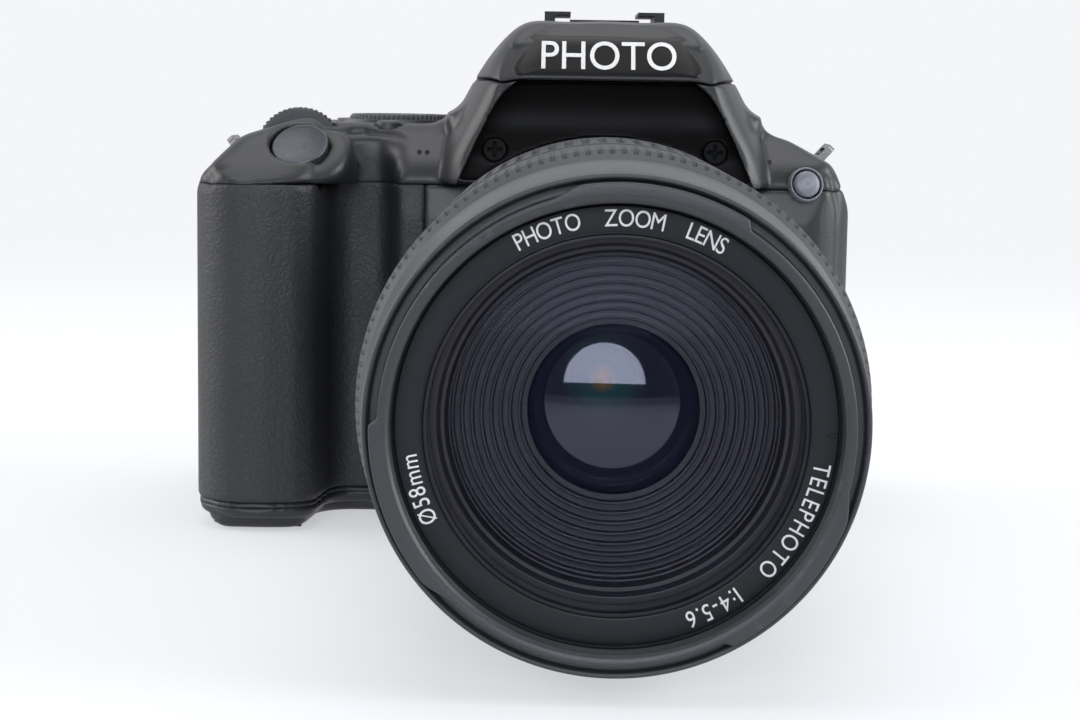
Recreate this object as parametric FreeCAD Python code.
"""Compact digital single-lens reflex camera with a telephoto zoom lens.

Frame: millimetres, +Z up, -Y towards the subject, +X to the right of someone who faces the
lens.  The origin is the mouth of the tripod socket, on the base plane under the lens axis.
Every physical piece is one node, written to parts/NODE.step.
"""
import FreeCAD
import Part
import math
import os

V = FreeCAD.Vector

# ---------------------------------------------------------------- driving dimensions
# body
BODY_LEFT = -72.2        # outer face of the hand grip
BODY_RIGHT = 44.4        # outer face of the connector side
FRONT_Y = -25.0          # front cover's main plane
GRIP_Y = -35.0           # foremost line of the grip
RECESS_Y = -16.5         # bottom of the finger recess beside the grip
REAR_Y = 26.0            # rear cover's main plane
DECK_Z = 71.5            # top deck
SEAM_Z = DECK_Z - 10.5   # lower edge of the top cover
BASE_H = 4.0             # height of the bottom cover
SEAM_Y = 3.0             # joint plane of the front and rear covers
WALL = 2.4               # cover wall
SKIN = 1.2               # rubber skin on grip and thumb rest
GAP = 0.3                # clearance between a moving piece and its opening
BUTTON_FLANGE = 0.8      # how far a button's hidden flange reaches past its opening
FLANGE_T = 0.8           # thickness of that flange
PRESS_ROOM = 2.3         # free depth behind a button's flange

# optics
AXIS_Z = 35.6            # height of the optical axis
FLANGE_Y = -30.0         # lens flange plane
FOCAL_DEPTH = 44.0       # flange to image sensor
THROAT_R = 27.0          # inner radius of the camera's bayonet
MOUNT_R = 32.3           # outer radius of the camera's bayonet ring
MOUNT_T = 2.5
BOSS_R = 34.0            # round boss that carries the bayonet ring

# hump over the viewfinder
HUMP_TOP_Z = DECK_Z + 19.1
HUMP_FRONT_Y = -31.6
HUMP_REAR_Y = 25.0
FLASH_SPLIT_Z = DECK_Z + 8.3   # lower edge of the flash head
NOSE_LEAN = 5.0          # how far the name panel leans back
FLASH_HINGE_Y = -3.0
FLASH_HINGE_R = 2.1
HINGE_NECK = 1.6         # from the flash hinge axis to the rear edge of the flash head's roof
FLASH_HINGE_Z = HUMP_TOP_Z - FLASH_HINGE_R - 0.3
EAR_X = 8.5              # inner face of the ears that hold the flash hinge pin
EAR_T = 3.0
EAR_R = 1.9
FLASH_PIN_HALF = EAR_X + EAR_T
PIN_R = 0.9
PANEL_T = 1.4            # dark panel under the nose
RECESS_ARCH = ((28.6, SEAM_Z - 9.5), (26.6, SEAM_Z), (25.0, SEAM_Z + 4.0), (22.9, SEAM_Z + 9.0), (20.4, SEAM_Z + 14.0),
               (18.6, FLASH_SPLIT_Z - 2.3), (15.5, FLASH_SPLIT_Z - GAP))   # half width of the arch and its height

# lens, lengths counted back from the front lip
LENS_LENGTH = 111.2
LENS_R = 35.0
LIP_R = 31.45
THREAD_R = 28.8
THREAD_FRONT = 0.6       # front end of the filter thread, behind the lip
THREAD_L = 2.6           # length of the filter thread
NAME_R = 29.1            # outer radius of the name ring, held in an undercut behind the thread
NAME_RING_DEPTH = 4.0
GLASS_R = 24.2
SHELL_FRONT_R = 32.5     # outer radius of the front shell just behind the lip
SHELL_REAR_R = 33.75
FOCUS_FRONT = 18.0
FOCUS_REAR = 38.0
ZOOM_FRONT = 40.4
ZOOM_REAR = 88.0
TUBE_R = 29.6            # sliding tube, drawn in; it travels 55 forward when the zoom ring turns
TUBE_T = 1.4
GUIDE_T = 1.3            # fixed guide tube around it
SLIDE_CLEARANCE = 0.06   # radial clearance of every turning or sliding ring fit
LIP_Y = FLANGE_Y - LENS_LENGTH

# screen
LCD_LEFT = -27.0
LCD_RIGHT = 37.0
LCD_BOTTOM = 8.5
LCD_TOP = 57.5
LCD_T = 5.6
LCD_FRONT_Y = 24.9
LCD_AXIS_X = 40.6

# top controls
BUTTON_N = V(-0.10, -0.66, 0.744).normalize()
BUTTON_C = V(BODY_LEFT + 18.4, GRIP_Y + 9.6, DECK_Z - 4.3)
BUTTON_R = 5.05
PAD_R = 9.2
DIAL_X = BODY_LEFT + 16.9
DIAL_Y = -15.5
DIAL_Z = DECK_Z - 5.3
DIAL_R = 8.0
DIAL_T = 5.0
MODE_X = BODY_LEFT + 33.9
MODE_Y = 4.0
MODE_R = 9.6

# hinges, doors and sockets
SET_R = 3.9
KNUCKLE_H = 3.2
HINGE_R = 2.6
DOOR = (BODY_LEFT + 3.6, BODY_LEFT + 19.1, -30.0, 6.0)
SHOE_FLOOR_Z = HUMP_TOP_Z - 0.7
SHOE_HALF = 11.25
SHOE_SLOT = 9.35         # half the width of the slot for an accessory foot
SOCKET_R = 3.2
SOCKET_L = 5.5

LOCK_R = 1.4             # lens lock pin
LOCK_DEGREES = -19.0     # its place on the bayonet, seen from the front
SCREW_CIRCLE_R = 29.6    # screws and lock pin of the bayonet
MOUNT_SCREWS = (40, 140, 220, 320)
PANEL_SCREW_X = 19.5
PANEL_SCREW_Z = SEAM_Z + 6.4
DIOPTER_X = 19.0
SEAT_R = 31.9            # seat of the focus ring on the front barrel
TAB_DEGREES = 44.5       # width of each hood bayonet tab
SWITCH_TRAVEL = 3.0
EYECUP_Y = 34.8

SENSOR_Y = FLANGE_Y + FOCAL_DEPTH

parts = {}


# ---------------------------------------------------------------- helpers
def place(plane, u, v, w):
    """A point of a drawing plane (u, v) at the distance w along the plane's normal axis."""
    if plane == "XY":
        return V(u, v, w)
    if plane == "XZ":
        return V(u, w, v)
    return V(w, u, v)


def ccw(points):
    """True when a closed polygon runs counter-clockwise."""
    area = 0.0
    for (x0, y0, _), (x1, y1, _) in zip(points, points[1:] + points[:1]):
        area += x0 * y1 - x1 * y0
    return area > 0


def inset(points, d):
    """A polygon of (u, v, corner radius) moved inwards by d, with its corners kept concentric."""
    if not ccw(points):
        points = points[::-1]
    moved = []
    count = len(points)
    for i in range(count):
        a = points[i - 1]
        b = points[i]
        c = points[(i + 1) % count]
        e1 = (b[0] - a[0], b[1] - a[1])
        e2 = (c[0] - b[0], c[1] - b[1])
        l1 = math.hypot(*e1)
        l2 = math.hypot(*e2)
        n1 = (-e1[1] / l1, e1[0] / l1)
        n2 = (-e2[1] / l2, e2[0] / l2)
        cross = (e1[0] * e2[1] - e1[1] * e2[0]) / (l1 * l2)
        scale = d / (1 + n1[0] * n2[0] + n1[1] * n2[1])
        u = b[0] + scale * (n1[0] + n2[0])
        v = b[1] + scale * (n1[1] + n2[1])
        r = max(b[2] - d, 0.0) if cross > 0 else b[2] + d
        moved.append((u, v, r if b[2] > 0 else 0.0))
    return moved


def outline(points, plane="XY", w=0.0):
    """Closed wire through (u, v, corner radius), each corner rounded by a tangent arc."""
    count = len(points)
    starts = []
    ends = []
    mids = []
    for i in range(count):
        a = points[i - 1]
        b = points[i]
        c = points[(i + 1) % count]
        d1 = V(a[0] - b[0], a[1] - b[1], 0)
        d2 = V(c[0] - b[0], c[1] - b[1], 0)
        turn = d1.getAngle(d2)
        centre = V(b[0], b[1], 0)
        if b[2] <= 1e-6 or abs(math.pi - turn) < 1e-4:
            starts.append(centre)
            mids.append(None)
            ends.append(centre)
            continue
        reach = b[2] / math.tan(turn / 2)
        n1 = V(d1).normalize()
        n2 = V(d2).normalize()
        middle = centre + (n1 + n2).normalize() * (b[2] / math.sin(turn / 2) - b[2])
        starts.append(centre + n1 * reach)
        mids.append(middle)
        ends.append(centre + n2 * reach)
    edges = []
    for i in range(count):
        j = (i + 1) % count
        if mids[i] is not None:
            p, m, q = [place(plane, t.x, t.y, w) for t in (starts[i], mids[i], ends[i])]
            edges.append(Part.Arc(p, m, q).toShape())
        p = place(plane, ends[i].x, ends[i].y, w)
        q = place(plane, starts[j].x, starts[j].y, w)
        if (p - q).Length > 1e-6:
            edges.append(Part.LineSegment(p, q).toShape())
    return Part.Wire(Part.__sortEdges__(edges))


def prism(points, plane, w0, w1):
    """Solid of a rounded outline between two distances along the plane's normal."""
    face = Part.Face(outline(points, plane, w0))
    return face.extrude(place(plane, 0, 0, w1) - place(plane, 0, 0, w0))


def box(x0, x1, y0, y1, z0, z1):
    return Part.makeBox(x1 - x0, y1 - y0, z1 - z0, V(x0, y0, z0))


def soft_box(x0, x1, y0, y1, z0, z1, r, plane="XZ"):
    """Box whose edges along the plane's normal are rounded."""
    spans = {"XY": (x0, x1, y0, y1, z0, z1), "XZ": (x0, x1, z0, z1, y0, y1), "YZ": (y0, y1, z0, z1, x0, x1)}
    u0, u1, v0, v1, w0, w1 = spans[plane]
    return prism([(u0, v0, r), (u1, v0, r), (u1, v1, r), (u0, v1, r)], plane, w0, w1)


def cylinder(r, base, axis, length):
    return Part.makeCylinder(r, length, base, axis)


def revolve_y(profile, x=0.0, z=AXIS_Z):
    """Ring about an axis along Y from (y, radius) points."""
    wire = Part.makePolygon([V(x, y, z + r) for y, r in profile + profile[:1]])
    return Part.Face(wire).revolve(V(x, 0, z), V(0, 1, 0), 360)


def revolve_z(profile, x, y):
    """Ring or knob about a vertical axis from (z, radius) points."""
    wire = Part.makePolygon([V(x + r, y, z) for z, r in profile + profile[:1]])
    return Part.Face(wire).revolve(V(x, y, 0), V(0, 0, 1), 360)


def fuse(shapes):
    whole = shapes[0]
    if len(shapes) > 1:
        whole = whole.multiFuse(shapes[1:])
    return whole.removeSplitter()


def keep(name, shape):
    parts[name] = shape


def button(name, centre, normal, r, proud, opening_depth, face_crown=0.5):
    """Round push button: a crowned head, a shaft through the cover and a flange behind it."""
    n = V(normal).normalize()
    head = cylinder(r, centre - n * opening_depth, n, opening_depth + proud)
    head = head.makeFillet(face_crown, [e for e in head.Edges if (e.CenterOfMass - (centre + n * proud)).Length < 0.05])
    flange = cylinder(r + BUTTON_FLANGE, centre - n * (opening_depth + FLANGE_T), n, FLANGE_T)
    keep(name, fuse([head, flange]))
    room = cylinder(r + BUTTON_FLANGE + GAP, centre - n * (opening_depth + FLANGE_T + PRESS_ROOM), n,
                    FLANGE_T + PRESS_ROOM + GAP)
    return cylinder(r + GAP, centre - n * 6.0, n, 12.0).fuse(room)


# ---------------------------------------------------------------- outer form of the body
def plan_points(rear_y=REAR_Y):
    """Body seen from above, with the grip and the finger recess beside it."""
    return [
        (BODY_LEFT, GRIP_Y + 1.0, 10.5), (BODY_LEFT + 12.5, GRIP_Y, 14.0), (BODY_LEFT + 21.4, GRIP_Y + 2.0, 5.5),
        (BODY_LEFT + 23.4, RECESS_Y, 4.5), (BODY_LEFT + 33.6, RECESS_Y, 3.5), (BODY_LEFT + 35.2, FRONT_Y, 2.2),
        (BODY_RIGHT, FRONT_Y, 9.0), (BODY_RIGHT, rear_y, 6.0), (BODY_LEFT, rear_y, 8.0)]


def front_points():
    """Body seen from the front."""
    return [
        (BODY_LEFT, 0.0, 6.5), (BODY_RIGHT, 0.0, 6.0), (BODY_RIGHT, SEAM_Z - 3.5, 10.0),
        (BODY_RIGHT - 3.2, DECK_Z - 6.2, 3.0), (BODY_RIGHT - 10.9, DECK_Z - 1.9, 10.0),
        (BODY_RIGHT - 19.4, DECK_Z, 14.0), (BODY_LEFT + 15.2, DECK_Z, 8.0), (BODY_LEFT + 7.3, DECK_Z - 2.3, 5.0),
        (BODY_LEFT + 1.8, DECK_Z - 8.4, 3.0), (BODY_LEFT, DECK_Z - 11.6, 5.0)]


def grip_side_points():
    """Grip seen from the side: upright front, then the slope that carries the shutter button."""
    return [
        (GRIP_Y - 0.6, 0.0, 4.5), (REAR_Y, 0.0, 3.5), (REAR_Y, DECK_Z - 5.0, 5.0), (REAR_Y - 6.0, DECK_Z, 5.0),
        (GRIP_Y + 12.0, DECK_Z, 4.0), (GRIP_Y + 0.4, SEAM_Z + 0.6, 1.5)]


def main_side_points():
    """Middle and right side seen from the side."""
    return [
        (FRONT_Y, 0.0, 3.0), (REAR_Y, 0.0, 3.5), (REAR_Y, DECK_Z - 5.0, 5.0), (REAR_Y - 6.0, DECK_Z, 5.0),
        (FRONT_Y + 11.0, DECK_Z, 9.0), (FRONT_Y + 1.6, SEAM_Z + 3.0, 9.0), (FRONT_Y, SEAM_Z - 6.0, 6.0)]


def body_form(d):
    """Outer form of the body without the hump, moved inwards by d."""
    split_x = BODY_LEFT + 29.0
    plan = prism(inset(plan_points(), d), "XY", -20, 100)
    front = prism(inset(front_points(), d), "XZ", -100, 100)
    grip = prism(inset(grip_side_points(), d), "YZ", BODY_LEFT - 5, split_x)
    main = prism(inset(main_side_points(), d), "YZ", split_x, BODY_RIGHT + 5)
    return plan.common(front).common(grip.fuse(main))


def hump_section(y, base_half, mid_half, top_half, top_z, d):
    """Closed arch across the hump at one station along Y."""
    base_z = DECK_Z - 10.0
    rise = top_z - d - base_z
    half_widths = [base_half - d, base_half - 1.2 - d, mid_half - d, top_half + 1.8 - d * 0.8,
                   top_half - 1.2 - d * 0.5, top_half * 0.5]
    heights = [0.0, 0.18, 0.50, 0.90, 0.978, 0.995]
    right = [V(u, y, base_z + rise * h) for u, h in zip(half_widths, heights)]
    left = [V(-p.x, y, p.z) for p in right[::-1]]
    arch = Part.BSplineCurve()
    arch.interpolate(right + [V(0, y, base_z + rise)] + left)
    foot = Part.LineSegment(left[-1], right[0])
    return Part.Wire([arch.toShape(), foot.toShape()])


def hump_form(d):
    """Viewfinder hump, moved inwards by d."""
    stations = [
        (HUMP_FRONT_Y + d, 26.4, 20.8, 14.2, HUMP_TOP_Z - 2.4),
        (HUMP_FRONT_Y + 13.0, 30.2, 24.8, 15.8, HUMP_TOP_Z - 0.5),
        (-2.0, 31.0, 25.6, 16.0, HUMP_TOP_Z),
        (12.0, 29.5, 23.6, 15.4, HUMP_TOP_Z - 0.4),
        (HUMP_REAR_Y - d, 25.0, 19.6, 14.4, HUMP_TOP_Z - 2.0)]
    wires = [hump_section(y, b, m, t, z, d) for y, b, m, t, z in stations]
    return Part.makeLoft(wires, True, False)


def recess_cut(d, widen=0.0):
    """Arched space under the nose of the hump, in front of the dark recess panel; d moves it back and
    widen moves its sides outwards."""
    y0 = HUMP_FRONT_Y - 12.0
    top = FLASH_SPLIT_Z - GAP
    side = prism([
        (y0, SEAM_Z - 9.0, 0), (FRONT_Y + d, SEAM_Z - 9.0, 0), (FRONT_Y + d, SEAM_Z + 5.0, 6.0),
        (FRONT_Y + 3.5 + d, SEAM_Z + 12.0, 9.0), (FRONT_Y + 1.8 + d, top, 0), (y0, top, 0)], "YZ", -60, 60)
    right = [(half + widen, z, 0) for half, z in RECESS_ARCH]
    left = [(-u, z, 0) for u, z, _ in right[::-1]]
    return side.common(prism(right + left, "XZ", y0 - 5, 40))


def nose_cut(d):
    """Everything in front of the sloping name panel on the nose; d moves it back."""
    low = FLASH_SPLIT_Z - GAP - 0.2
    foot_y = HUMP_FRONT_Y + d
    return prism([
        (HUMP_FRONT_Y - 20, low, 0), (foot_y, low, 0), (foot_y + NOSE_LEAN, HUMP_TOP_Z - 3.6, 3.0),
        (foot_y + NOSE_LEAN + 14.0, HUMP_TOP_Z + 5.0, 0), (HUMP_FRONT_Y - 20, HUMP_TOP_Z + 5.0, 0)], "YZ", -60, 60)


def flash_zone(d):
    """Space that belongs to the flash head; d widens it by a clearance."""
    slab = box(-60, 60, -80, FLASH_HINGE_Y - HINGE_NECK + d, FLASH_SPLIT_Z - d, HUMP_TOP_Z + 20)
    corner = math.hypot(HINGE_NECK, HUMP_TOP_Z - FLASH_HINGE_Z)
    r = FLASH_HINGE_R if d == 0 else corner + d
    return slab.fuse(cylinder(r, V(-60, FLASH_HINGE_Y, FLASH_HINGE_Z), V(1, 0, 0), 120))


# ---------------------------------------------------------------- covers
def rubber_region():
    """Grip, finger recess and front column, between the two covers' edges."""
    wrap = box(BODY_LEFT - 2, BODY_LEFT + 40.4, GRIP_Y - 5, -2.0, BASE_H + 0.9, SEAM_Z)
    return wrap.cut(cylinder(BOSS_R + 0.4, V(0, FRONT_Y - 20, AXIS_Z), V(0, 1, 0), 40))


def thumb_region():
    return box(BODY_LEFT - 2, BODY_LEFT + 13.0, 19.0, REAR_Y + 5, 18.0, 50.0)


def pad():
    """Raised round pad under the shutter button."""
    disc = cylinder(PAD_R, BUTTON_C - BUTTON_N * 9.0, BUTTON_N, 9.0)
    disc = disc.makeFillet(1.6, [e for e in disc.Edges if (e.CenterOfMass - BUTTON_C).Length < 0.05])
    return disc.common(box(BODY_LEFT, BODY_RIGHT, GRIP_Y - 5, 0, SEAM_Z, DECK_Z + 10))


def hinge_ears():
    """Two ears of the top cover that hold the ends of the flash hinge pin."""
    ears = []
    for side in (-1, 1):
        x0 = min(side * EAR_X, side * (EAR_X + EAR_T))
        disc = cylinder(EAR_R, V(x0, FLASH_HINGE_Y, FLASH_HINGE_Z), V(1, 0, 0), EAR_T)
        foot = box(x0, x0 + EAR_T, FLASH_HINGE_Y, FLASH_HINGE_Y + 4.5, FLASH_HINGE_Z - 5.0, FLASH_HINGE_Z)
        ears.append(disc.fuse(foot))
    return fuse(ears)


def ear_slots():
    """Room that the flash head leaves for the ears."""
    slots = []
    reach = max(EAR_R, FLASH_HINGE_R) + GAP
    for side in (-1, 1):
        x0 = min(side * (EAR_X - GAP), side * (EAR_X + EAR_T + GAP))
        slots.append(cylinder(reach, V(x0, FLASH_HINGE_Y, FLASH_HINGE_Z), V(1, 0, 0), EAR_T + 2 * GAP))
    return fuse(slots)


def main_dial():
    """Finger wheel behind the shutter button, on an axle along Y."""
    wheel = cylinder(DIAL_R, V(DIAL_X, DIAL_Y, DIAL_Z), V(0, 1, 0), DIAL_T)
    wheel = wheel.makeFillet(0.6, [e for e in wheel.Edges if e.Length > 5 and e.BoundBox.YLength < 0.01])
    axle = cylinder(1.5, V(DIAL_X, DIAL_Y - 1.6, DIAL_Z), V(0, 1, 0), DIAL_T + 3.2)
    keep("main_dial", fuse([wheel, axle]))
    slot = cylinder(DIAL_R + GAP, V(DIAL_X, DIAL_Y - GAP, DIAL_Z), V(0, 1, 0), DIAL_T + 2 * GAP)
    return slot.fuse(cylinder(1.5 + GAP, V(DIAL_X, DIAL_Y - 2, DIAL_Z), V(0, 1, 0), DIAL_T + 4))


def mode_dial():
    """Mode dial and, around its rear, the power lever on the same vertical axis."""
    seat_z = DECK_Z - 1.0
    top_z = DECK_Z + 1.5
    knob = revolve_z([(seat_z + 0.2, 0.0), (seat_z + 0.2, MODE_R), (top_z - 0.5, MODE_R), (top_z, MODE_R - 0.5),
                      (top_z, 0.0)], MODE_X, MODE_Y)
    spindle = cylinder(2.5, V(MODE_X, MODE_Y, seat_z - 6.0), V(0, 0, 1), 6.2)
    keep("mode_dial", fuse([knob, spindle]))
    ring_in = MODE_R + GAP
    ring = revolve_z([(seat_z + 0.2, ring_in), (seat_z + 0.2, ring_in + 2.2), (seat_z + 1.6, ring_in + 2.0),
                      (seat_z + 1.6, ring_in)], MODE_X, MODE_Y)
    tab = soft_box(MODE_X - 2.2, MODE_X + 2.2, MODE_Y + ring_in + 0.5, MODE_Y + ring_in + 4.4,
                   seat_z + 0.2, seat_z + 2.2, 1.2, "XY")
    tab.rotate(V(MODE_X, MODE_Y, 0), V(0, 0, 1), 28)
    keep("power_lever", fuse([ring, tab]))
    well = cylinder(ring_in + 2.5, V(MODE_X, MODE_Y, seat_z), V(0, 0, 1), 8)
    sweep = cylinder(ring_in + 4.9, V(MODE_X, MODE_Y, seat_z), V(0, 0, 1), 8)
    wedge = prism([(0, 0, 0), (30, 26, 0), (0, 50, 0), (-40, 34, 0)], "XY", 0, 100)
    wedge.translate(V(MODE_X, MODE_Y, 0))
    hole = cylinder(2.5 + GAP, V(MODE_X, MODE_Y, seat_z - 8), V(0, 0, 1), 9)
    return well.fuse(sweep.common(wedge)).fuse(hole)


def covers():
    """The four outer covers, the rubber skins and the dark panel under the nose."""
    outer = body_form(0.0)
    inner = body_form(WALL)
    nose = nose_cut(0.0)
    hump = hump_form(0.0).cut(recess_cut(0.0)).cut(nose)
    hump_in = hump_form(WALL).cut(recess_cut(WALL + PANEL_T, WALL)).cut(nose_cut(WALL))
    core = hump_in.cut(flash_zone(GAP + WALL))
    boss = cylinder(BOSS_R, V(0, FRONT_Y - MOUNT_T, AXIS_Z), V(0, 1, 0), MOUNT_T + WALL)
    boss_hole = cylinder(THROAT_R + 1.0, V(0, FRONT_Y - 20, AXIS_Z), V(0, 1, 0), 30)
    shell = outer.fuse(hump.cut(flash_zone(GAP))).fuse(pad()).cut(inner).cut(core)
    shell = shell.fuse(boss).fuse(hinge_ears()).cut(boss_hole)

    layer = recess_cut(PANEL_T).cut(recess_cut(0.0)).common(hump_form(1.0))
    mouth = layer.cut(cylinder(BOSS_R + 0.3, V(0, FRONT_Y - 20, AXIS_Z), V(0, 1, 0), 40))
    mouth = mouth.common(box(-40, 40, -60, 0, SEAM_Z + 1.0, FLASH_SPLIT_Z - GAP - 0.1))
    shell = shell.cut(mouth)
    screws = []
    for side in (-1, 1):
        head = cylinder(2.0, V(side * PANEL_SCREW_X, FRONT_Y + PANEL_T, PANEL_SCREW_Z), V(0, -1, 0), PANEL_T)
        cross = box(-1.3, 1.3, -0.6, 0.6, -0.25, 0.25).fuse(box(-0.25, 0.25, -0.6, 0.6, -1.3, 1.3))
        cross.translate(V(side * PANEL_SCREW_X, FRONT_Y + 0.2, PANEL_SCREW_Z))
        mouth = mouth.cut(cylinder(2.05, V(side * PANEL_SCREW_X, FRONT_Y + 5, PANEL_SCREW_Z), V(0, -1, 0), 10))
        screws.append(head.cut(cross))
    keep("recess_panel", mouth)

    skin = outer.cut(body_form(SKIN))
    thumb = body_form(-1.4).cut(body_form(SKIN)).common(thumb_region())
    keep("grip_rubber", Part.makeCompound([skin.common(rubber_region()), thumb]))
    shell = shell.cut(skin.common(rubber_region())).cut(skin.common(thumb_region()))

    solid_hump = hump_form(0.0).cut(nose).common(flash_zone(0.0))
    return shell, solid_hump, screws


def flash_head(block):
    """Flash head: the nose and roof of the hump, with the lamp's reflector behind a clear window."""
    rear = FLASH_HINGE_Y - FLASH_HINGE_R - 3.4
    front = HUMP_FRONT_Y + WALL + 1.6
    half = 13.0
    window_t = 1.8
    lamp = prism([(front, FLASH_SPLIT_Z + 1.5, 0), (rear, FLASH_SPLIT_Z + 1.5, 0), (rear - 3, FLASH_SPLIT_Z + 6.0, 2.0),
                  (front + 7, FLASH_SPLIT_Z + 6.0, 2.0)], "YZ", -half, half)
    seat = box(-half - 1, half + 1, front - 1, rear + 1, FLASH_SPLIT_Z - 1, FLASH_SPLIT_Z + window_t)
    reach = FLASH_PIN_HALF + GAP
    pin = cylinder(PIN_R + SLIDE_CLEARANCE, V(-reach, FLASH_HINGE_Y, FLASH_HINGE_Z), V(1, 0, 0), 2 * reach)
    keep("flash_head", block.cut(lamp).cut(seat).cut(pin).cut(ear_slots()))
    keep("flash_window", soft_box(-half - 0.95, half + 0.95, front - 0.95, rear + 0.95, FLASH_SPLIT_Z,
                                  FLASH_SPLIT_Z + window_t, 0.8, "XY"))
    keep("flash_hinge_pin", cylinder(PIN_R, V(-FLASH_PIN_HALF, FLASH_HINGE_Y, FLASH_HINGE_Z), V(1, 0, 0),
                                     2 * FLASH_PIN_HALF))


def top_controls():
    """Pieces on the top and front that move; returns the space they need in the covers."""
    n = BUTTON_N
    cap = cylinder(BUTTON_R, BUTTON_C - n * 3.0, n, 4.2)
    dish = Part.makeSphere(16.0, BUTTON_C + n * (1.2 + 15.75))
    cap = cap.cut(dish)
    flange = cylinder(BUTTON_R + 0.9, BUTTON_C - n * 3.8, n, 0.8)
    keep("shutter_button", fuse([cap, flange]))
    space = cylinder(BUTTON_R + GAP, BUTTON_C - n * 5.5, n, 12).fuse(
        cylinder(BUTTON_R + 1.4, BUTTON_C - n * 5.6, n, 3.0))
    space = space.fuse(main_dial()).fuse(mode_dial())
    space = space.fuse(button("iso_button", V(MODE_X - 1.0, MODE_Y - 15.4, DECK_Z), V(0, 0, 1), 2.3, 0.5, 3.2))
    flash_n = V(0.16, -0.955, 0.25)
    space = space.fuse(button("flash_button", V(BODY_RIGHT - 8.5, FRONT_Y + 0.9, SEAM_Z + 1.1), flash_n, 2.35, 0.7, 4.0))
    release = V(BODY_RIGHT - 7.5, FRONT_Y, AXIS_Z - 9.6)
    space = space.fuse(button("lens_release_button", release, V(0, -1, 0), 3.9, 2.6, 4.2, 0.8))
    return space


def rear_controls():
    """Buttons on the rear face; returns the space they need."""
    y = REAR_Y
    back = V(0, 1, 0)
    space = cylinder(0.5, V(0, 200, 0), back, 1)
    small = (("menu_button", LCD_RIGHT - 3.5, SEAM_Z + 2.8, 1.9), ("info_button", LCD_LEFT - 6.5, SEAM_Z + 2.8, 1.9),
             ("live_view_button", LCD_LEFT - 7.2, SEAM_Z - 7.5, 2.6), ("ae_lock_button", LCD_LEFT - 25.5, SEAM_Z - 5.3, 2.4),
             ("af_point_button", LCD_LEFT - 35.5, SEAM_Z - 5.3, 2.4), ("playback_button", LCD_LEFT - 11.0, 13.5, 2.6),
             ("erase_button", LCD_LEFT - 27.0, 13.5, 2.6))
    for name, x, z, r in small:
        space = space.fuse(button(name, V(x, y, z), back, r, 0.7, 3.2, 0.4))
    centre = V(LCD_LEFT - 19.0, y, 32.0)
    space = space.fuse(button("cross_keys", centre, back, 9.4, 1.0, 3.2, 0.5))
    ring = parts["cross_keys"].cut(cylinder(SET_R + GAP, centre - back * 12, back, 24))
    keep("cross_keys", ring)
    set_head = cylinder(SET_R, centre - back * 4.0, back, 5.3)
    set_head = set_head.makeFillet(0.5, [e for e in set_head.Edges if (e.CenterOfMass - centre - back * 1.3).Length < 0.05])
    set_flange = cylinder(SET_R + 1.0, centre - back * 5.6, back, 0.8)
    set_stem = cylinder(1.2, centre - back * 5.0, back, 2.0)
    keep("set_button", fuse([set_head, set_stem, set_flange]))
    return space


def hinge_parts():
    """Swing-out screen, its hinge and the knuckles the hinge turns in."""
    y0 = LCD_FRONT_Y
    y1 = y0 + LCD_T
    mid = (y0 + y1) / 2
    panel = soft_box(LCD_LEFT, LCD_RIGHT, y0, y1, LCD_BOTTOM, LCD_TOP, 2.5)
    panel = panel.makeFillet(1.0, [e for e in panel.Edges if abs(e.BoundBox.YMax - y1) < 0.01 and e.BoundBox.YLength < 0.01])
    glass_t = 1.2
    seat = soft_box(LCD_LEFT + 2.0, LCD_RIGHT - 2.0, y1 - glass_t, y1 + 1, LCD_BOTTOM + 2.0, LCD_TOP - 2.0, 1.2)
    tongue = box(LCD_RIGHT - 3.0, LCD_RIGHT + 1, mid - 1.4, mid + 1.4, LCD_BOTTOM + 6.0, LCD_TOP - 6.0)
    keep("lcd_housing", panel.cut(seat).cut(tongue))
    keep("lcd_glass", soft_box(LCD_LEFT + 2.0, LCD_RIGHT - 2.0, y1 - glass_t, y1 - 0.15, LCD_BOTTOM + 2.0, LCD_TOP - 2.0, 1.2))
    z0 = LCD_BOTTOM + KNUCKLE_H
    z1 = LCD_TOP - KNUCKLE_H
    barrel = cylinder(HINGE_R, V(LCD_AXIS_X, mid, z0 + 0.1), V(0, 0, 1), z1 - z0 - 0.2)
    arm = box(LCD_RIGHT - 3.0, LCD_AXIS_X, mid - 1.4, mid + 1.4, LCD_BOTTOM + 6.0, LCD_TOP - 6.0)
    pin = cylinder(PIN_R, V(LCD_AXIS_X, mid, LCD_BOTTOM), V(0, 0, 1), LCD_TOP - LCD_BOTTOM)
    keep("lcd_hinge", fuse([barrel, arm, pin]))
    knuckles = []
    for a, b in ((LCD_BOTTOM, z0), (z1, LCD_TOP)):
        lug = cylinder(HINGE_R, V(LCD_AXIS_X, mid, a), V(0, 0, 1), b - a)
        foot = box(LCD_AXIS_X - HINGE_R, LCD_AXIS_X + HINGE_R, y0 - 0.3, mid, a, b)
        knuckles.append(lug.fuse(foot))
    bore = cylinder(PIN_R + SLIDE_CLEARANCE, V(LCD_AXIS_X, mid, 0), V(0, 0, 1), 100)
    bay = box(LCD_LEFT - GAP, BODY_RIGHT + 2, y0 - 0.3, REAR_Y + 10, LCD_BOTTOM - GAP, LCD_TOP + GAP)
    return bay, fuse(knuckles).cut(bore)


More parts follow.
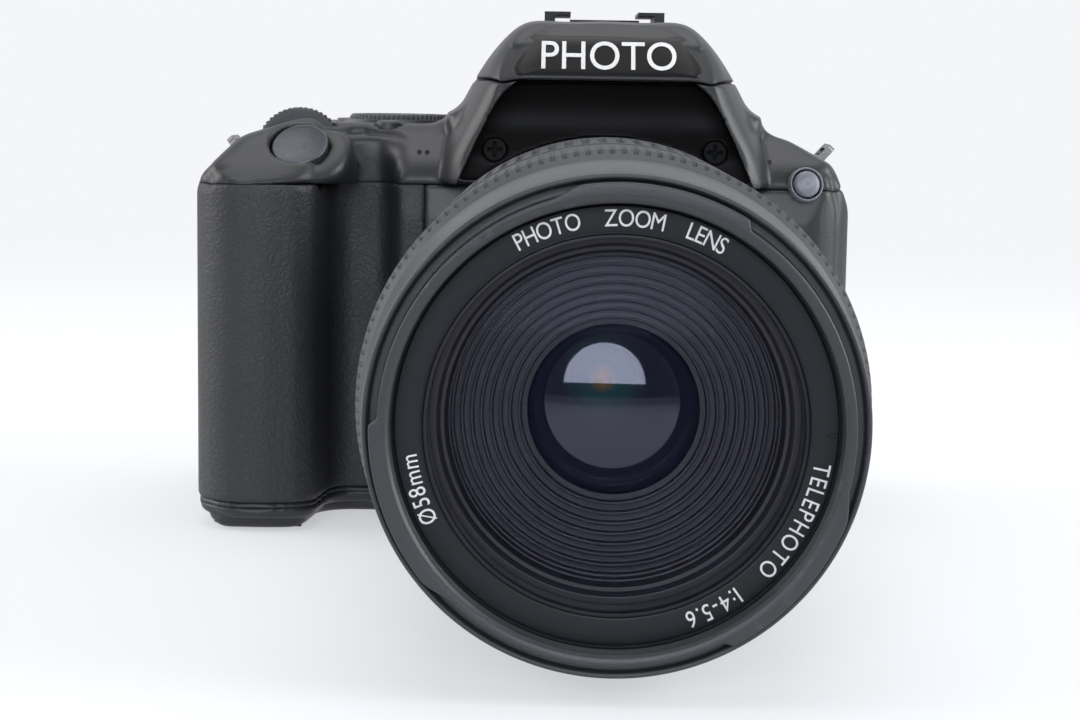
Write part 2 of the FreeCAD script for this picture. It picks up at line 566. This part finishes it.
def doors():
    """Battery door with its latch, and the two connector covers; returns their openings."""
    outer = body_form(0.0)
    x0, x1, y0, y1 = DOOR
    hole = box(x0 - GAP, x1 + GAP, y0 - GAP, y1 + GAP, -1, BASE_H + 2)
    door = outer.common(box(x0, x1, y0, y1, -1, WALL))
    latch_x = x0 + 6.0
    track = box(latch_x - 1.2, latch_x + 5.2, -7, 1, -1, 1.4).fuse(box(latch_x - 1.6, latch_x + 5.6, -8.4, 2.4, 1.4, 1.9))
    keep("battery_door", door.cut(track))
    slider = box(latch_x - 0.9, latch_x + 2.9, -6.7, 0.7, 0.1, 1.45).fuse(
        box(latch_x - 1.3, latch_x + 3.3, -8.1, 2.1, 1.45, 1.8))
    keep("battery_latch", fuse([slider]))
    t = 1.5
    mic = (BODY_RIGHT, -13.0, 1.6, 26.0, 52.0)
    usb = (BODY_LEFT, 6.0, 17.6, 24.0, 48.0)
    pockets = []
    for name, (x, ya, yb, za, zb) in (("microphone_cover", mic), ("data_cover", usb)):
        side = 1 if x > 0 else -1
        inner_x = x - side * t
        span = (min(x, inner_x), max(x, inner_x))
        flap = soft_box(span[0], span[1], ya, yb, za, zb, 1.5, "YZ")
        keep(name, flap)
        deep = x - side * (t + 0.05)
        pockets.append(soft_box(min(deep, x + side), max(deep, x + side), ya - GAP, yb + GAP, za - GAP, zb + GAP,
                                1.5 + GAP, "YZ"))
        for k, jack_r in enumerate((2.6, 1.9)):
            z = za + (zb - za) * (0.3 + 0.42 * k)
            pockets.append(cylinder(jack_r, V(x - side * 8, (ya + yb) / 2, z), V(side, 0, 0), 8))
    return hole, fuse(pockets)


def diopter():
    """Dioptre wheel in a slot at the right rear flank of the hump, on an axle along Y."""
    z = DECK_Z + 6.5
    wheel = cylinder(3.6, V(DIOPTER_X, HUMP_REAR_Y - 7.0, z), V(0, 1, 0), 3.0)
    axle = cylinder(0.8, V(DIOPTER_X, HUMP_REAR_Y - 8.2, z), V(0, 1, 0), 5.4)
    keep("diopter_wheel", fuse([wheel, axle]))
    slot = cylinder(3.6 + GAP, V(DIOPTER_X, HUMP_REAR_Y - 7.0 - GAP, z), V(0, 1, 0), 3.0 + 2 * GAP)
    return slot.fuse(cylinder(0.8 + GAP, V(DIOPTER_X, HUMP_REAR_Y - 8.6, z), V(0, 1, 0), 6.2))


def hot_shoe():
    """Accessory shoe: a steel channel open to the rear, sunk in the roof."""
    floor = SHOE_FLOOR_Z
    y0, y1 = 2.5, 22.0
    half = SHOE_HALF
    base = box(-half, half, y0, y1, floor - 0.8, floor)
    walls = box(-half, -SHOE_SLOT, y0, y1, floor, floor + 2.7).fuse(box(SHOE_SLOT, half, y0, y1, floor, floor + 2.7))
    lips = box(-half, -SHOE_SLOT + 3.0, y0, y1, floor + 2.0, floor + 2.7).fuse(
        box(SHOE_SLOT - 3.0, half, y0, y1, floor + 2.0, floor + 2.7))
    stop = box(-6.5, 6.5, y0, y0 + 1.2, floor, floor + 1.2)
    keep("hot_shoe", fuse([base, walls, lips, stop]))
    return box(-half, half, y0, y1 + 10, floor - 0.8, floor + 10)


def lug(side):
    """Flat strap eye standing out of a sloping shoulder."""
    eye = soft_box(-5.0, 5.0, -2.0, 3.4, -0.6, 0.6, 1.2, "XY")
    slot = soft_box(-3.2, 3.2, 0.6, 2.4, -2, 2, 0.8, "XY")
    eye = eye.cut(slot)
    eye.rotate(V(0, 0, 0), V(1, 0, 0), 90)
    eye.rotate(V(0, 0, 0), V(0, 0, 1), 90)
    eye.rotate(V(0, 0, 0), V(0, 1, 0), 42 * side)
    x = BODY_RIGHT - 3.4 if side > 0 else BODY_LEFT + 4.0
    eye.translate(V(x, 5.0, DECK_Z - 5.9))
    return eye


def bottom_details():
    """Tripod socket pressed into the base."""
    socket = cylinder(SOCKET_R + 2.6, V(0, 0, 0), V(0, 0, 1), SOCKET_L + 1.0)
    socket = socket.cut(cylinder(SOCKET_R, V(0, 0, -1), V(0, 0, 1), SOCKET_L + 1.0))
    keep("tripod_socket", socket)
    return cylinder(SOCKET_R + 2.6, V(0, 0, -5), V(0, 0, 1), 12)


def split_covers(shell):
    """Cut the shell into the covers and open it for everything that passes through."""
    space = top_controls().fuse(rear_controls()).fuse(diopter())
    shoe_space = hot_shoe()
    bay, knuckles = hinge_parts()
    door_hole, pockets = doors()
    lugs = Part.makeCompound([lug(1), lug(-1)])
    keep("strap_lugs", lugs)
    eye = soft_box(-9.5, 9.5, 10, 40, DECK_Z + 1.6, DECK_Z + 12.0, 2.0)
    pin_bore = cylinder(PIN_R, V(-FLASH_PIN_HALF, FLASH_HINGE_Y, FLASH_HINGE_Z), V(1, 0, 0), 2 * FLASH_PIN_HALF)
    shell = shell.cut(space).cut(shoe_space).cut(bay).cut(door_hole).cut(pockets).cut(lugs).cut(eye).cut(pin_bore)
    shell = shell.cut(bottom_details())
    keep("grip_rubber", parts["grip_rubber"].cut(space))
    far = 200
    keep("bottom_cover", shell.common(box(-far, far, -far, far, -5, BASE_H)))
    middle = shell.common(box(-far, far, -far, far, BASE_H, SEAM_Z))
    keep("front_cover", middle.common(box(-far, far, -far, SEAM_Y, 0, far)))
    keep("rear_cover", middle.common(box(-far, far, SEAM_Y, far, 0, far)).fuse(knuckles).removeSplitter())
    keep("top_cover", shell.common(box(-far, far, -far, far, SEAM_Z, far)))


# ---------------------------------------------------------------- inside the body
def bayonet():
    """Steel bayonet ring on the boss, its four screws and the lens lock pin."""
    back = FRONT_Y - MOUNT_T
    ring = revolve_y([(FLANGE_Y, THROAT_R), (FLANGE_Y, MOUNT_R - 0.4), (FLANGE_Y + 0.4, MOUNT_R), (back, MOUNT_R),
                      (back, THROAT_R + 0.9), (back + 3.5, THROAT_R + 0.9), (back + 3.5, THROAT_R)])
    screws = []
    for degrees in MOUNT_SCREWS:
        a = math.radians(degrees)
        p = V(SCREW_CIRCLE_R * math.cos(a), FLANGE_Y, AXIS_Z + SCREW_CIRCLE_R * math.sin(a))
        head = cylinder(1.5, p, V(0, 1, 0), 1.2).cut(cylinder(0.55, p - V(0, 1, 0), V(0, 1, 0), 1.6))
        shank = cylinder(0.8, p + V(0, 1.2, 0), V(0, 1, 0), 3.4)
        ring = ring.cut(cylinder(1.5, p, V(0, 1, 0), 1.2)).cut(cylinder(0.8, p, V(0, 1, 0), 6))
        screws.append(head.fuse(shank))
    pin_at = lock_pin_place()
    bore = cylinder(LOCK_R + SLIDE_CLEARANCE, pin_at - V(0, 12, 0), V(0, 1, 0), 30)
    keep("mount_ring", ring.cut(bore))
    pin = cylinder(LOCK_R, V(pin_at.x, FLANGE_Y - 1.6, pin_at.z), V(0, 1, 0), 10.6)
    keep("lens_lock_pin", pin)
    holes = [cylinder(0.8, V(SCREW_CIRCLE_R * math.cos(math.radians(d)), FLANGE_Y, AXIS_Z + SCREW_CIRCLE_R * math.sin(math.radians(d))),
                      V(0, 1, 0), 4.6) for d in MOUNT_SCREWS]
    return bore, fuse(holes), screws


def lock_pin_place():
    a = math.radians(LOCK_DEGREES)
    return V(SCREW_CIRCLE_R * math.cos(a), FLANGE_Y, AXIS_Z + SCREW_CIRCLE_R * math.sin(a))


def chassis():
    """Moulded frame with the mirror box; the tripod socket stands under it."""
    y0 = FRONT_Y + WALL + 0.1
    y1 = 7.0
    z0 = AXIS_Z - 24.0
    z1 = AXIS_Z + 19.0
    frame = box(-22.5, 22.5, y0, y1, z0, z1).cut(box(-20.5, 20.5, y0 + 2.0, y1 + 1, z0 + 2.0, z1 - 2.0))
    frame = frame.cut(cylinder(20.0, V(0, y0 - 1, AXIS_Z), V(0, 1, 0), 4))
    frame = frame.cut(box(-13.0, 13.0, -19.0, 4.0, z1 - 3, z1 + 1))
    foot = box(-16, 16, -9, 7.0, SOCKET_L + 1.0, z0).cut(box(-12, 12, -7, 8, SOCKET_L + 2.5, z0))
    keep("chassis", fuse([frame, foot]))
    hinge_z = z1 - 9.4
    arm = 24.5
    plate = box(-13.5, 13.5, -arm, 0.0, -1.4, 0.0)
    plate = plate.fuse(cylinder(1.0, V(-18.5, 0, -0.7), V(1, 0, 0), 37))
    plate.rotate(V(0, 0, 0), V(1, 0, 0), 45)
    plate.translate(V(0, 5.2, hinge_z))
    keep("mirror", plate)
    shutter = box(-25.0, 25.0, y1, y1 + 3.0, AXIS_Z - 20.0, AXIS_Z + 19.0)
    keep("shutter_unit", shutter.cut(box(-11.8, 11.8, y1 - 1, y1 + 1.0, AXIS_Z - 8.0, AXIS_Z + 8.0)))
    sensor = box(-14.0, 14.0, SENSOR_Y, SENSOR_Y + 3.8, AXIS_Z - 10.5, AXIS_Z + 10.5)
    window = box(-11.2, 11.2, SENSOR_Y - 1.0, SENSOR_Y, AXIS_Z - 7.5, AXIS_Z + 7.5)
    keep("image_sensor", sensor.fuse(window))
    keep("main_board", box(-31.0, 31.0, SENSOR_Y + 3.8, SENSOR_Y + 5.4, 12.0, 57.0))
    roof = z1 + 0.5
    keep("pentamirror", prism([(-16.0, roof, 0), (8.0, roof, 0), (11.0, roof + 6.5, 0), (3.0, roof + 16.5, 0),
                               (-8.0, roof + 16.5, 0), (-16.5, roof + 9.0, 0)], "YZ", -12.5, 12.5))
    keep("eyepiece_lens", soft_box(-9.2, 9.2, HUMP_REAR_Y - 3.4, HUMP_REAR_Y - 0.6, DECK_Z + 1.9, DECK_Z + 11.7, 1.8))
    cup = soft_box(-17.5, 17.5, HUMP_REAR_Y, EYECUP_Y, DECK_Z - 3.0, DECK_Z + 15.2, 6.0)
    cup = cup.makeFillet(2.0, [e for e in cup.Edges if abs(e.BoundBox.YMin - EYECUP_Y) < 0.01])
    cup = cup.cut(soft_box(-9.5, 9.5, 10, 60, DECK_Z + 1.6, DECK_Z + 12.0, 2.0)).cut(body_form(-0.02))
    keep("eyecup", cup)
    bx = DOOR[0] + 0.6
    keep("battery", soft_box(bx, bx + 14.0, -28.6, 4.4, WALL + 0.6, WALL + 50.0, 2.0, "XY"))


# ---------------------------------------------------------------- lens
def at(z):
    """Y of a station counted back from the front lip."""
    return LIP_Y + z


def lens_rear():
    """Bayonet plate, fixed barrel with its guide tube, and the two switches."""
    bore = THROAT_R - 0.3
    plate = revolve_y([(FLANGE_Y, 24.0), (FLANGE_Y + 4.6, 24.0), (FLANGE_Y + 4.6, bore), (FLANGE_Y, bore),
                       (FLANGE_Y, MOUNT_R - 0.6), (FLANGE_Y - 2.0, MOUNT_R - 0.6), (FLANGE_Y - 2.0, 24.0)])
    pin_at = lock_pin_place()
    hole = cylinder(LOCK_R + SLIDE_CLEARANCE, V(pin_at.x, FLANGE_Y - 1.7, pin_at.z), V(0, 1, 0), 5)
    keep("lens_mount", plate.cut(hole))
    y_end = FLANGE_Y - 2.0
    y_zoom = at(ZOOM_REAR + 0.4)
    guide_in = TUBE_R + SLIDE_CLEARANCE
    guide_out = guide_in + GUIDE_T
    y_guide = at(ZOOM_FRONT + 1.2)
    y_step = at(LENS_LENGTH - 7.0)
    barrel = revolve_y([(y_end, 27.0), (y_end, 32.4), (y_end - 4.5, 33.4), (y_zoom, 34.4), (y_zoom, guide_out),
                        (y_guide, guide_out), (y_guide, guide_in), (y_step, guide_in), (y_step, 27.0)])
    for name, degrees in (("focus_switch", 14.0), ("stabiliser_switch", -14.0)):
        yc = (y_end - 4.5 + y_zoom) / 2 - 0.5
        knob = box(31.6, 34.8, yc - 2.4, yc + 2.4, -1.6, 1.6)
        slot = box(31.0, 36.0, yc - 2.7, yc + 2.7 + SWITCH_TRAVEL, -1.9, 1.9)
        for piece in (knob, slot):
            piece.rotate(V(0, 0, 0), V(0, 1, 0), -degrees)
            piece.translate(V(0, 0, AXIS_Z))
        keep(name, knob)
        barrel = barrel.cut(slot)
    keep("fixed_barrel", barrel)
    keep("rear_lens_group", revolve_y([(y_end + 3.0, 0.0), (y_end + 3.0, 23.9), (y_end, 23.9), (y_end, 27.0),
                                       (y_step, 27.0), (y_step, 20.0), (y_step - 8.0, 17.0), (y_step - 8.0, 0.0)]))


def lens_rings():
    """Zoom ring on the guide tube, and the focus ring on the front barrel."""
    guide_out = TUBE_R + SLIDE_CLEARANCE + GUIDE_T
    r_in = guide_out + SLIDE_CLEARANCE
    f, r = ZOOM_FRONT, ZOOM_REAR
    keep("zoom_ring", revolve_y([(at(f), r_in), (at(f), LENS_R - 1.0), (at(f + 0.8), LENS_R - 0.35), (at(f + 11.0), LENS_R - 0.35),
                                 (at(f + 11.4), LENS_R), (at(r - 5.0), LENS_R), (at(r - 4.6), LENS_R - 0.4),
                                 (at(r), LENS_R - 0.5), (at(r), r_in)]))
    f, r = FOCUS_FRONT, FOCUS_REAR
    keep("focus_ring", revolve_y([(at(f), SEAT_R + SLIDE_CLEARANCE), (at(f), SHELL_REAR_R), (at(f + 2.8), LENS_R),
                                  (at(r - 0.6), LENS_R), (at(r), LENS_R - 0.5), (at(r), SEAT_R + SLIDE_CLEARANCE)]))


def lens_front():
    """Sliding front barrel with the filter thread and hood bayonet, and the pieces it carries."""
    lip = LIP_R - 1.2
    profile = [
        (at(0), THREAD_R + 0.6), (at(0), lip), (at(2.6), lip), (at(2.6), NAME_R + 0.75), (at(6.4), NAME_R + 0.75),
        (at(6.4), SHELL_FRONT_R - 0.7), (at(2.1), SHELL_FRONT_R - 0.4), (at(2.1), SHELL_FRONT_R),
        (at(FOCUS_FRONT - 0.4), SHELL_REAR_R), (at(FOCUS_FRONT - 0.4), SEAT_R), (at(FOCUS_REAR + 0.4), SEAT_R),
        (at(FOCUS_REAR + 0.4), LENS_R - 0.8), (at(ZOOM_FRONT - 0.6), LENS_R - 0.8), (at(ZOOM_FRONT - 0.6), TUBE_R),
        (at(LENS_LENGTH - 8.0), TUBE_R), (at(LENS_LENGTH - 8.0), TUBE_R - TUBE_T), (at(24.0), TUBE_R - TUBE_T),
        (at(24.0), GLASS_R), (at(NAME_RING_DEPTH + 1.3), GLASS_R), (at(NAME_RING_DEPTH + 1.3), NAME_R + 0.05),
        (at(THREAD_FRONT + THREAD_L), NAME_R + 0.05), (at(THREAD_FRONT + THREAD_L), THREAD_R),
        (at(THREAD_FRONT), THREAD_R)]
    barrel = revolve_y(profile)
    tabs = []
    for middle in (81.0, 201.0, 321.0):
        ring = revolve_y([(at(0), lip - 0.6), (at(0), LIP_R), (at(2.0), LIP_R), (at(2.0), lip - 0.6)])
        half = math.radians(TAB_DEGREES / 2)
        a = math.radians(middle)
        far = 60.0
        points = [(0, AXIS_Z, 0)] + [(far * math.cos(a + k * half), AXIS_Z + far * math.sin(a + k * half), 0) for k in (-1, 0, 1)]
        tabs.append(ring.common(prism(points, "XZ", at(-5), at(10))))
    keep("front_barrel", fuse([barrel] + tabs))
    d = NAME_RING_DEPTH
    keep("name_ring", revolve_y([(at(d - 0.5), GLASS_R), (at(d), NAME_R), (at(d + 1.3), NAME_R), (at(d + 1.3), GLASS_R)]))
    r = GLASS_R - 0.02
    front = Part.makeSphere(90.0, V(0, at(d + 1.6) + 90.0, AXIS_Z)).common(
        Part.makeCylinder(r, 8.0, V(0, at(d + 1.0), AXIS_Z), V(0, 1, 0)))
    rear = Part.makeSphere(90.0, V(0, at(d + 3.6) + 90.0, AXIS_Z))
    keep("front_glass", front.cut(rear))
    steps = []
    outer_r, inner_r = GLASS_R - 0.02, 11.6
    count = 8
    y0, y1 = d + 9.4, d + 15.6
    for i in range(count):
        ra = 21.6 - (21.6 - inner_r) * i / count
        rb = 21.6 - (21.6 - inner_r) * (i + 1) / count
        ya = y0 + (y1 - y0) * (i + 1) / count
        steps += [(at(ya - 0.9), ra), (at(ya), ra - 0.1), (at(ya), rb)]
    baffle = [(at(y0 - 1.6), outer_r), (at(y0 - 1.6), 21.6)] + steps + [(at(y1 + 1.6), inner_r), (at(y1 + 1.6), outer_r)]
    keep("light_baffle", revolve_y(baffle))
    dome = Part.makeSphere(26.0, V(0, at(y1 - 1.4) + 26.0, AXIS_Z)).common(
        Part.makeCylinder(inner_r - 0.02, 5.0, V(0, at(y1 - 2.0), AXIS_Z), V(0, 1, 0)))
    keep("inner_glass", dome)


# ---------------------------------------------------------------- build
shell, flash_block, panel_screws = covers()
flash_head(flash_block)
split_covers(shell)
pin_bore, screw_holes, mount_screws = bayonet()
keep("screws", Part.makeCompound(panel_screws + mount_screws))
chassis()
lens_rear()
lens_rings()
lens_front()
for name in ("front_cover", "chassis"):
    parts[name] = parts[name].cut(pin_bore)
parts["front_cover"] = parts["front_cover"].cut(screw_holes).cut(parts["mount_ring"])

os.makedirs("parts", exist_ok=True)
for name, shape in parts.items():
    shape.exportStep("parts/" + name + ".step")
print(len(parts), "nodes")
